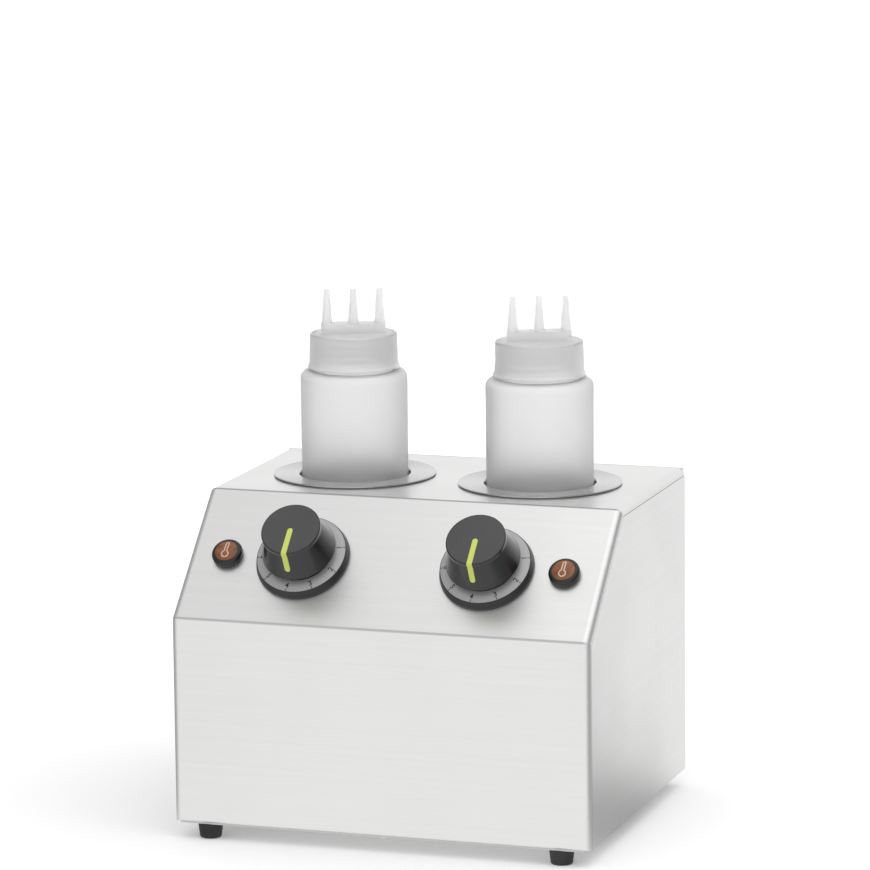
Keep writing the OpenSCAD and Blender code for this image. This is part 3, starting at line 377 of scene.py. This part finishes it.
def metal(name, dark, light, smooth, rough, grain, turn=(0, 0, 0), centre=None, relief=0.25,
          metallic=1.0, fold_shades=()):
    """Brushed or turned metal: the grain's light and dark, wiped patches and scratches, and
    painted shade as grey lines along the folds given
    """
    finish, t, place = start_finish(name)
    if centre:
        place = place_group(t, "either side", {"Vector": place})["Folded"]
        place = t.add("ShaderNodeMapping", {
            "Vector": place, "Location": centre, "Rotation": turn},
            vector_type="TEXTURE").outputs[0]
        scratch = place_group(t, "turned grain", {"Vector": place, "Across": grain})
    else:
        turned = t.add("ShaderNodeMapping", {"Vector": place, "Rotation": turn}).outputs[0]
        scratch = place_group(t, "brushed grain", {"Vector": turned, "Across": grain})
    marks = place_group(t, "handling marks", {"Vector": place})["Value"]
    tone = t.blend(scratch["Tone"], opaque(dark), opaque(light))
    # Painted shade: each fold's strip is blended towards a flat grey that stands in for the shade
    # on the bend
    for y, z, level in fold_shades:
        tone = t.blend(near_fold(t, place, y, z), tone, opaque(grey(level)))
    sheen = t.math("ADD", t.span(marks, 0.0, 1.0, smooth, rough, "LINEAR"),
                   t.math("MULTIPLY", scratch["Tone"], SCRATCH_SHEEN))
    surface = t.add("ShaderNodeBsdfPrincipled", {
        "Base Color": tone, "Roughness": sheen, "Metallic": metallic})
    end_finish(t, surface, scratch["Height"], relief, SCRATCH_DEPTH)
    return finish


def plastic(name, dark, light, smooth, rough, grain=2200.0, relief=0.2, patch=30.0, **more):
    """Moulded plastic, rubber or ceramic: slow tone, fine skin, wiped patches"""
    finish, t, place = start_finish(name)
    skin = place_group(t, "moulded skin", {"Vector": place, "Grain": grain, "Patch": patch})
    marks = place_group(t, "handling marks", {"Vector": place, "Size": 40.0})["Value"]
    tone = t.blend(skin["Tone"], opaque(dark), opaque(light))
    sheen = t.span(marks, 0.0, 1.0, smooth, rough, "LINEAR")
    inputs = {"Base Color": tone, "Roughness": sheen}
    for label, value in more.items():
        inputs[label.replace("_", " ")] = value
    surface = t.add("ShaderNodeBsdfPrincipled", inputs)
    end_finish(t, surface, skin["Height"], relief, SKIN_DEPTH)
    return finish


def knob_finish():
    """A matt face on a satin black knob, told apart by its height and radius; the face's lighter
    black is partly painted highlight
    """
    finish, t, place = start_finish("knob_black")
    folded = place_group(t, "either side", {"Vector": place})["Folded"]
    local = t.add("ShaderNodeMapping", {
        "Vector": folded, "Location": KNOB_CENTRE, "Rotation": SLOPE_ROTATION},
        vector_type="TEXTURE").outputs[0]
    axes = t.add("ShaderNodeSeparateXYZ", {0: local}).outputs
    above = t.math("GREATER_THAN", axes["Z"], KNOB_H - 0.8 * MM)
    reach = t.reach(axes["X"], axes["Y"])
    within = t.span(reach, CAP_FACE_R - 0.3 * MM, CAP_FACE_R, 1.0, 0.0)
    cap = t.math("MULTIPLY", above, within)
    skin = place_group(t, "moulded skin", {"Vector": place, "Grain": 2600.0})
    body = t.blend(skin["Tone"], opaque(grey(0.006)), opaque(grey(0.012)))
    # The face's lighter black is partly its matt finish and partly painted highlight for the
    # overhead light that it mirrors
    top = t.blend(skin["Tone"], opaque(grey(0.036)), opaque(grey(0.056)))
    sheen = t.span(cap, 0.0, 1.0, 0.28, 0.42)
    surface = t.add("ShaderNodeBsdfPrincipled", {
        "Base Color": t.blend(cap, body, top), "Roughness": sheen, "Specular IOR Level": 0.3,
        "Coat Weight": 0.6, "Coat Roughness": 0.10})
    end_finish(t, surface, skin["Height"], 0.2, SKIN_DEPTH)
    return finish


def well_finish():
    """Turned steel in two painted tones: brighter down in the well as painted light, darker on
    its flange as painted shade
    """
    finish, t, place = start_finish("turned_well")
    folded = place_group(t, "either side", {"Vector": place})["Folded"]
    local = t.add("ShaderNodeMapping", {"Vector": folded, "Location": WELL_CENTRE},
                  vector_type="TEXTURE").outputs[0]
    scratch = place_group(t, "turned grain", {"Vector": local, "Across": 2200.0})
    height = t.add("ShaderNodeSeparateXYZ", {0: place}).outputs["Z"]
    flange = t.span(height, WELL_RIM_Z - 3.0 * MM, WELL_RIM_Z - 1.0 * MM, 0.0, 1.0)
    # Painted light and shade: the same steel gets a bright tone inside the well and a dark one on
    # the flange
    inside = t.blend(scratch["Tone"], opaque(grey(0.80)), opaque(grey(0.94)))
    rim = t.blend(scratch["Tone"], opaque(grey(0.42)), opaque(grey(0.58)))
    surface = t.add("ShaderNodeBsdfPrincipled", {
        "Base Color": t.blend(flange, inside, rim), "Metallic": 1.0,
        "Anisotropic": 0.9, "Anisotropic Rotation": 0.25,
        "Roughness": t.span(flange, 0.0, 1.0, 0.27, 0.24)})
    end_finish(t, surface, scratch["Height"], 0.12, SCRATCH_DEPTH)
    return finish


SCRATCH_DEPTH = 0.02 * MM
SCRATCH_SHEEN = 0.05
SKIN_DEPTH = 0.03 * MM
# Inner and outer radius of the strip of painted shade round a fold
FOLD_IN_R = 0.7 * MM
FOLD_OUT_R = 1.3 * MM
KNOB_H = 36.7 * MM
CAP_FACE_R = 20.2 * MM
WELL_RIM_Z = 0.2336
QUARTER = math.radians(90)
KNOB_CENTRE = slope_place(KNOB_X)
WELL_CENTRE = (WELL_X, WELL_Y, 0)
SLOPE_ROTATION = (SLOPE_TURN, 0, 0)

side_steel = metal("brushed_side_panel", (0.745, 0.745, 0.74), (0.845, 0.845, 0.84), 0.33, 0.38,
                   2600.0, turn=(0, 0, QUARTER))
bezel_black = plastic("bezel_black", grey(0.006), grey(0.012), 0.24, 0.32)
clear_cap = plastic("clear_cap", grey(0.965), grey(0.98), 0.28, 0.34, 60.0, 0.02,
                    Transmission_Weight=0.66, IOR=1.27)
finishes = {
    # The casing's two bends get painted shade: grey lines of 0.58 and 0.42
    "brushed_stainless": metal("brushed_casing", (0.745, 0.745, 0.74), (0.845, 0.845, 0.84),
                               0.33, 0.38, 2600.0, fold_shades=[(FRONT_Y, BEND_Z, 0.58),
                                                          (TOP_Y, TOP_Z, 0.42)]),
    "plain_steel": metal("base_sheet", (0.50, 0.50, 0.50), (0.62, 0.62, 0.61), 0.38, 0.46,
                         1400.0),
    "drawn_stainless": well_finish(),
    "screws": metal("plated_screw", (0.60, 0.60, 0.57), (0.76, 0.76, 0.73), 0.24, 0.34, 4000.0),
    "heater_band": metal("heater_jacket", (0.40, 0.36, 0.31), (0.56, 0.51, 0.45), 0.40, 0.52,
                         1500.0, turn=(0, QUARTER, 0)),
    "copper": metal("copper_tube", (0.66, 0.38, 0.23), (0.80, 0.50, 0.32), 0.26, 0.38, 3000.0),
    "dial_silver": metal("silver_dial", (0.35, 0.35, 0.35), (0.46, 0.46, 0.46), 0.38, 0.44,
                         5200.0, turn=SLOPE_ROTATION, centre=KNOB_CENTRE, metallic=0.35),
    "rubber": plastic("foot_rubber", grey(0.012), grey(0.028), 0.62, 0.80, 1600.0, 0.5),
    "gasket": plastic("silicone_gasket", grey(0.10), grey(0.14), 0.55, 0.70, 1600.0, 0.4),
    "ceramic": plastic("steatite", (0.72, 0.68, 0.58), (0.84, 0.80, 0.71), 0.50, 0.65),
    "black_plastic": plastic("black_rim", grey(0.010), grey(0.018), 0.30, 0.38),
    "knob_plastic": knob_finish(),
    "lime_plastic": plastic("pointer_lime", (0.52, 0.60, 0.105), (0.62, 0.69, 0.15), 0.34, 0.42),
    "amber_lens": plastic("amber_lens", (0.045, 0.016, 0.008), (0.40, 0.135, 0.040), 0.10, 0.20,
                          900.0, 0.3, 230.0),
    "gland_plastic": plastic("gland_nylon", grey(0.022), grey(0.038), 0.45, 0.60),
    "ivory_plastic": plastic("terminal_ivory", (0.72, 0.67, 0.53), (0.82, 0.78, 0.64), 0.42,
                             0.52),
    "wire": plastic("wire_sleeve", (0.36, 0.035, 0.020), (0.48, 0.06, 0.035), 0.42, 0.55),
    "bottle_plastic": plastic("milky_bottle", grey(0.94), grey(0.955), 0.34, 0.40,
                              60.0, 0.02, Transmission_Weight=0.80, IOR=1.35),
}
dial_ink = plastic("dial_ink", grey(0.012), grey(0.022), 0.45, 0.55)
icon_paint = plastic("icon_paint", (0.62, 0.40, 0.30), (0.72, 0.48, 0.37), 0.35, 0.45)

SLOT_OF = {part["node"]: part["material_slot"] for part in frame["record"]["subparts"]}
for name, node in frame["nodes"].items():
    finish = finishes[SLOT_OF[name]]
    if name.startswith("side_panel"):
        finish = side_steel
    if name.startswith("lamp_body"):
        finish = bezel_black
    if name.startswith("nozzle_cap"):
        finish = clear_cap
    node.data.materials.clear()
    node.data.materials.append(finish)


# Modelling by hand: what each piece starts from and how it is finished


def select_only(*pieces):
    bpy.ops.object.select_all(action="DESELECT")
    for piece in pieces:
        piece.select_set(True)
    bpy.context.view_layer.objects.active = pieces[0]


def set_place(piece, place):
    """Turns and moves a piece, and keeps that in its mesh"""
    select_only(piece)
    piece.matrix_world = place
    bpy.ops.object.transform_apply(location=True, rotation=True, scale=True)


def join_as(name, pieces):
    select_only(*pieces)
    bpy.ops.object.join()
    joined = bpy.context.object
    joined.name = name
    return joined


def copy_of(piece, name):
    """A copy with a mesh of its own"""
    twin = piece.copy()
    twin.data = piece.data.copy()
    twin.name = name
    bpy.context.collection.objects.link(twin)
    return twin


def hand_over(piece, body, finish):
    piece.data.materials.clear()
    piece.data.materials.append(finish)
    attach(piece, body)


# Figures and ticks printed on the dials

RING_IN_R = 23.0 * MM
RING_TOP = 8.3 * MM
RING_FALL = 1.6 / 8.25
INK_T = 0.02 * MM
INK_LIFT = 0.03 * MM
INK_SPREAD = 0.08 * MM
FIGURE_R = 27.2 * MM
FIGURE_SIZE = 5.2 * MM
TICK_R = 30.25 * MM
TICK_L = 1.7 * MM
TICK_W = 0.55 * MM
FIGURE_TURNS = [14.7, -24.9, -62.1, -97.2, -133.2, -170.8]


def on_ring(x, turn, reach):
    """The ring's own axes at a turn and radius: Y points to the dial's axis, Z out of the ring"""
    turn = math.radians(turn)
    height = RING_TOP - RING_FALL * (reach - RING_IN_R) + INK_LIFT
    spot = Matrix.Translation((reach * math.cos(turn), reach * math.sin(turn), height))
    spin = Matrix.Rotation(turn + QUARTER, 4, "Z")
    lean = Matrix.Rotation(math.atan(RING_FALL), 4, "X")
    return slope_matrix(x) @ spot @ spin @ lean


def figure(text):
    """A figure of the dial as a thin layer of ink"""
    bpy.ops.object.text_add()
    letter = bpy.context.object
    letter.data.body = text
    letter.data.size = FIGURE_SIZE
    letter.data.align_x = "CENTER"
    letter.data.align_y = "CENTER"
    letter.data.extrude = INK_T
    letter.data.offset = INK_SPREAD
    letter.data.resolution_u = 4
    select_only(letter)
    bpy.ops.object.convert(target="MESH")
    return bpy.context.object


def tick():
    """A tick of the dial, its upper face drawn out of a small plane"""
    bpy.ops.mesh.primitive_plane_add(size=1.0)
    mark = bpy.context.object
    select_only(mark)
    bpy.ops.object.mode_set(mode="EDIT")
    bpy.ops.mesh.select_all(action="SELECT")
    bpy.ops.transform.resize(value=(TICK_W, TICK_L, 1.0))
    bpy.ops.mesh.extrude_region_move(TRANSFORM_OT_translate={"value": (0, 0, INK_T)})
    bpy.ops.mesh.select_all(action="SELECT")
    bpy.ops.mesh.normals_make_consistent(inside=False)
    bpy.ops.object.mode_set(mode="OBJECT")
    return mark


def make_dial_print(side, figures, mark):
    """Copies of the figures and of the tick, round one dial"""
    marks = []
    for letter, turn in zip(figures, FIGURE_TURNS):
        for first, reach in ((letter, FIGURE_R), (mark, TICK_R)):
            twin = copy_of(first, "mark")
            set_place(twin, on_ring(SIDES[side] * KNOB_X, turn, reach))
            marks.append(twin)
    printed = join_as(f"dial_print_{side}", marks)
    hand_over(printed, "casing", dial_ink)


figures = [figure(str(number + 1)) for number in range(len(FIGURE_TURNS))]
mark = tick()
for side in SIDES:
    make_dial_print(side, figures, mark)
for first in figures + [mark]:
    bpy.data.objects.remove(first)

# Pictograms on the lamps, threads on the bottles' necks and recesses in the screws

LENS_TOP = 7.2 * MM
BULB_R = 2.8 * MM
BULB_Y = -3.2 * MM
BULB_CORNERS = 24
STEM_TOP_Y = 5.4 * MM
LINE_W = 0.90 * MM
PRINT_T = 0.10 * MM
PRINT_LIFT = 0.06 * MM
TINY = 0.01 * MM


def pick_vertices(piece, wanted):
    """Leaves edit mode on, with the vertices chosen whose place passes the test"""
    bpy.ops.object.mode_set(mode="EDIT")
    bpy.ops.mesh.select_mode(type="VERT")
    bpy.ops.mesh.select_all(action="DESELECT")
    bpy.ops.object.mode_set(mode="OBJECT")
    for vertex in piece.data.vertices:
        vertex.select = wanted(vertex.co)
    bpy.ops.object.mode_set(mode="EDIT")


def highest(piece):
    bpy.ops.object.mode_set(mode="OBJECT")
    return max(vertex.co.y for vertex in piece.data.vertices)


def apply_modifier(piece, kind, **settings):
    select_only(piece)
    change = piece.modifiers.new("change", kind)
    for name, value in settings.items():
        setattr(change, name, value)
    bpy.ops.object.modifier_apply(modifier=change.name)


def close_and_face_outward(piece):
    select_only(piece)
    bpy.ops.object.mode_set(mode="EDIT")
    bpy.ops.mesh.select_all(action="SELECT")
    bpy.ops.mesh.fill_holes(sides=0)
    bpy.ops.mesh.normals_make_consistent(inside=False)
    bpy.ops.object.mode_set(mode="OBJECT")


def thermometer():
    """An outlined bulb with a stem above it, flat"""
    bpy.ops.mesh.primitive_circle_add(vertices=BULB_CORNERS, radius=BULB_R, fill_type="NOTHING")
    icon = bpy.context.object
    select_only(icon)
    gap = BULB_R * math.cos(1.5 * 2 * math.pi / BULB_CORNERS)
    pick_vertices(icon, lambda place: place.y > gap)
    bpy.ops.mesh.delete(type="VERT")
    neck = highest(icon)
    pick_vertices(icon, lambda place: place.y > neck - TINY)
    stem_end = STEM_TOP_Y - BULB_Y
    bpy.ops.mesh.extrude_vertices_move(TRANSFORM_OT_translate={"value": (0, stem_end - neck, 0)})
    pick_vertices(icon, lambda place: place.y > stem_end - TINY and place.x > 0)
    bpy.ops.mesh.spin(steps=8, angle=-math.pi, center=(0, stem_end, 0), axis=(0, 0, 1))
    bpy.ops.mesh.select_all(action="SELECT")
    bpy.ops.mesh.remove_doubles(threshold=TINY)
    bpy.ops.mesh.edge_face_add()
    bpy.ops.mesh.inset(thickness=LINE_W)
    bpy.ops.mesh.delete(type="FACE")
    bpy.ops.mesh.select_all(action="SELECT")
    bpy.ops.mesh.subdivide(number_cuts=4)
    bpy.ops.transform.translate(value=(0, BULB_Y, 0))
    bpy.ops.object.mode_set(mode="OBJECT")
    return icon


def make_lamp_icon(side, flat):
    """Wraps a copy of the flat icon on a lens and gives it its thickness"""
    icon = copy_of(flat, f"lamp_icon_{side}")
    above = Matrix.Translation((0, 0, LENS_TOP + MM))
    icon.matrix_world = slope_matrix(SIDES[side] * LAMP_X) @ above
    bpy.context.view_layer.update()
    apply_modifier(icon, "SHRINKWRAP", target=frame["nodes"][f"lamp_lens_{side}"],
                   wrap_method="PROJECT", use_project_z=True, use_negative_direction=True,
                   use_positive_direction=False, offset=PRINT_LIFT)
    apply_modifier(icon, "SOLIDIFY", thickness=PRINT_T, offset=0.0)
    set_place(icon, icon.matrix_world.copy())
    close_and_face_outward(icon)
    hand_over(icon, "casing", icon_paint)


THREAD_Z = SEAT_Z + 229.0 * MM
THREAD_PITCH = 4.8 * MM
THREAD_TURNS = 3
THREAD_PROUD = 0.42 * MM
THREAD_HALF = 0.9 * MM
THREAD_CORNERS = 8
THREAD_STEPS = 48
SMOOTH_ANGLE = math.radians(50)


def helical_ridge():
    """Three turns of ridge round Z, drawn up from a small oval"""
    bpy.ops.mesh.primitive_circle_add(vertices=THREAD_CORNERS, radius=1.0,
                                      rotation=(QUARTER, 0, 0))
    ridge = bpy.context.object
    ridge.scale = (THREAD_PROUD, THREAD_HALF, 1.0)
    ridge.location = (NECK_R, 0, 0)
    select_only(ridge)
    bpy.ops.object.transform_apply(location=True, rotation=True, scale=True)
    apply_modifier(ridge, "SCREW", axis="Z", angle=2 * math.pi, screw_offset=THREAD_PITCH,
                   iterations=THREAD_TURNS, steps=THREAD_STEPS, render_steps=THREAD_STEPS)
    close_and_face_outward(ridge)
    bpy.ops.object.shade_smooth_by_angle(angle=SMOOTH_ANGLE)
    return ridge


def make_thread(side, ridge):
    """A copy of the ridge round one bottle's neck"""
    thread = copy_of(ridge, f"bottle_thread_{side}")
    set_place(thread, Matrix.Translation((SIDES[side] * WELL_X, WELL_Y, THREAD_Z)))
    hand_over(thread, f"bottle_{side}", finishes["bottle_plastic"])


# Reach, width and depth of a cross recess, and where the heads are
PANEL_RECESS = (1.5 * MM, 0.7 * MM, 1.0 * MM)
FOOT_RECESS = (2.1 * MM, 0.9 * MM, 1.3 * MM)
SCREW_SIDE_X = 0.143
BASE_HEAD_Z = 9.0 * MM
REAR_HEAD_Y = 0.1118
FOOT_HEAD_Z = 3.54 * MM
DOWN = Matrix.Rotation(math.pi, 4, "X")
REARWARD = Matrix.Rotation(-QUARTER, 4, "X")
BASE_HEADS = [(x, y) for x in (-SCREW_SIDE_X, SCREW_SIDE_X) for y in (-0.058, 0.038)]
BASE_HEADS += [(0.0, -0.122), (0.024, 0.058), (0.036, 0.058)]
REAR_HEADS = [(x, z) for x in (-SCREW_SIDE_X, SCREW_SIDE_X) for z in (0.067, 0.177)]
REAR_HEADS += [(-0.100, 0.226), (0.100, 0.226)]
FOOT_HEADS = [(x, y) for x in (-0.127, 0.127) for y in (-0.120, 0.100)]


def cross_cutter(reach, width, depth):
    """A plus-shaped bar that stands in its own origin, drawn out from a small block"""
    bpy.ops.mesh.primitive_cube_add(size=1.0)
    cutter = bpy.context.object
    cutter.scale = (width, width, 2 * depth)
    select_only(cutter)
    bpy.ops.object.transform_apply(location=True, rotation=True, scale=True)
    for x, y in ((1, 0), (-1, 0), (0, 1), (0, -1)):
        edge = width / 2 - TINY
        pick_vertices(cutter, lambda place: max(abs(place.x), abs(place.y)) < width and
                      place.x * x + place.y * y > edge)
        push = (x * (reach - width / 2), y * (reach - width / 2), 0)
        bpy.ops.mesh.extrude_region_move(TRANSFORM_OT_translate={"value": push})
    bpy.ops.mesh.select_all(action="SELECT")
    bpy.ops.mesh.normals_make_consistent(inside=False)
    bpy.ops.object.mode_set(mode="OBJECT")
    return cutter


def cut_recesses(node_name, reach, width, depth, places):
    """Replaces a node of plain screws by a copy with a cross recess in each head"""
    cutters = []
    first = cross_cutter(reach, width, depth)
    for place in places:
        cutter = copy_of(first, "recess_cutter")
        set_place(cutter, place)
        cutters.append(cutter)
    bpy.data.objects.remove(first)
    cutter = join_as("recess_cutter", cutters)
    screws = copy_of(frame["nodes"][node_name], f"{node_name}_recessed")
    select_only(screws)
    bpy.ops.object.mode_set(mode="EDIT")
    bpy.ops.mesh.select_all(action="SELECT")
    bpy.ops.mesh.remove_doubles(threshold=0.001 * MM)
    bpy.ops.mesh.normals_make_consistent(inside=False)
    bpy.ops.object.mode_set(mode="OBJECT")
    apply_modifier(screws, "BOOLEAN", operation="DIFFERENCE", solver="EXACT", object=cutter)
    bpy.data.objects.remove(cutter)
    hand_over(screws, "casing", finishes["screws"])
    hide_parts(node_name)


flat_icon = thermometer()
ridge = helical_ridge()
for side in SIDES:
    make_lamp_icon(side, flat_icon)
    make_thread(side, ridge)
bpy.data.objects.remove(flat_icon)
bpy.data.objects.remove(ridge)
panel_heads = [Matrix.Translation((x, y, BASE_HEAD_Z)) @ DOWN for x, y in BASE_HEADS]
panel_heads += [Matrix.Translation((x, REAR_HEAD_Y, z)) @ REARWARD for x, z in REAR_HEADS]
cut_recesses("panel_screws", *PANEL_RECESS, panel_heads)
foot_heads = [Matrix.Translation((x, y, FOOT_HEAD_Z)) @ DOWN for x, y in FOOT_HEADS]
cut_recesses("foot_screws", *FOOT_RECESS, foot_heads)
